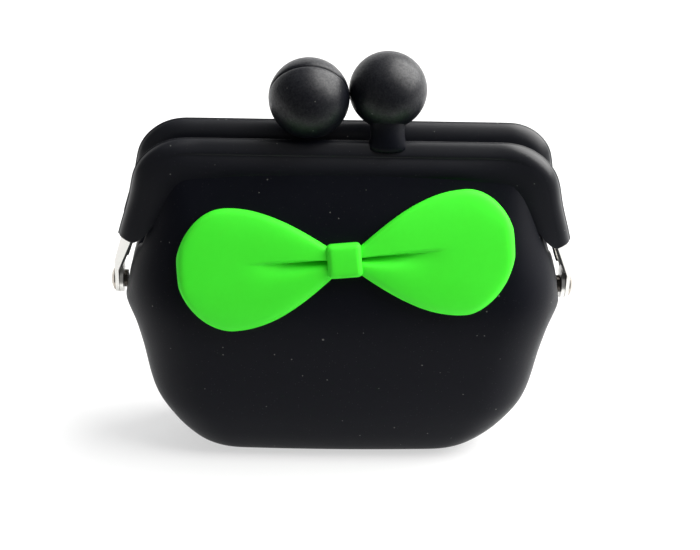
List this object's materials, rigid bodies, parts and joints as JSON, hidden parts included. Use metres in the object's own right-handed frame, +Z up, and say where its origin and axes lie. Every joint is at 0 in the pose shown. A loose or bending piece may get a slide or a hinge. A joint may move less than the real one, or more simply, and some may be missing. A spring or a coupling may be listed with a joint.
{
  "type": "kiss-lock coin purse",
  "caption": "Soft moulded coin purse with a rounded pouch, a riveted snap frame inside raised lips, crossing clasp balls and a bow on the front.",
  "frame": {"origin": "centre of the pouch's flat underside, midway between the two frames", "axes": "+X to the right along the rivets' axis, +Y to the back, +Z up; the bow is on the -Y side"},
  "size_m": [0.1052, 0.0396, 0.0931],
  "materials": {
    "black_silicone": "soft satin moulded silicone",
    "green_silicone": "soft satin moulded silicone",
    "nickel_steel": "bright nickel plated strip"
  },
  "bodies": {
    "pouch": {"pouch": "black_silicone", "bow": "green_silicone"},
    "front": {"front_frame": "nickel_steel", "front_lip": "black_silicone", "front_ball": "black_silicone", "left_rivet": "nickel_steel", "right_rivet": "nickel_steel"},
    "rear": {"rear_frame": "nickel_steel", "rear_lip": "black_silicone", "rear_ball": "black_silicone"}
  },
  "joints": [
    {"name": "front_hinge", "type": "hinge", "parent": "pouch", "child": "front", "pos_m": [0, 0, 0.0385], "axis": [1, 0, 0], "range_deg": [0, 30], "deforming": ["pouch", "bow"]},
    {"name": "rear_hinge", "type": "hinge", "parent": "pouch", "child": "rear", "pos_m": [0, 0, 0.0385], "axis": [-1, 0, 0], "range_deg": [0, 30], "deforming": ["pouch"]}
  ],
  "couplings": [
    {"joint": "rear_hinge", "follows": "front_hinge", "ratio": 1}
  ]
}
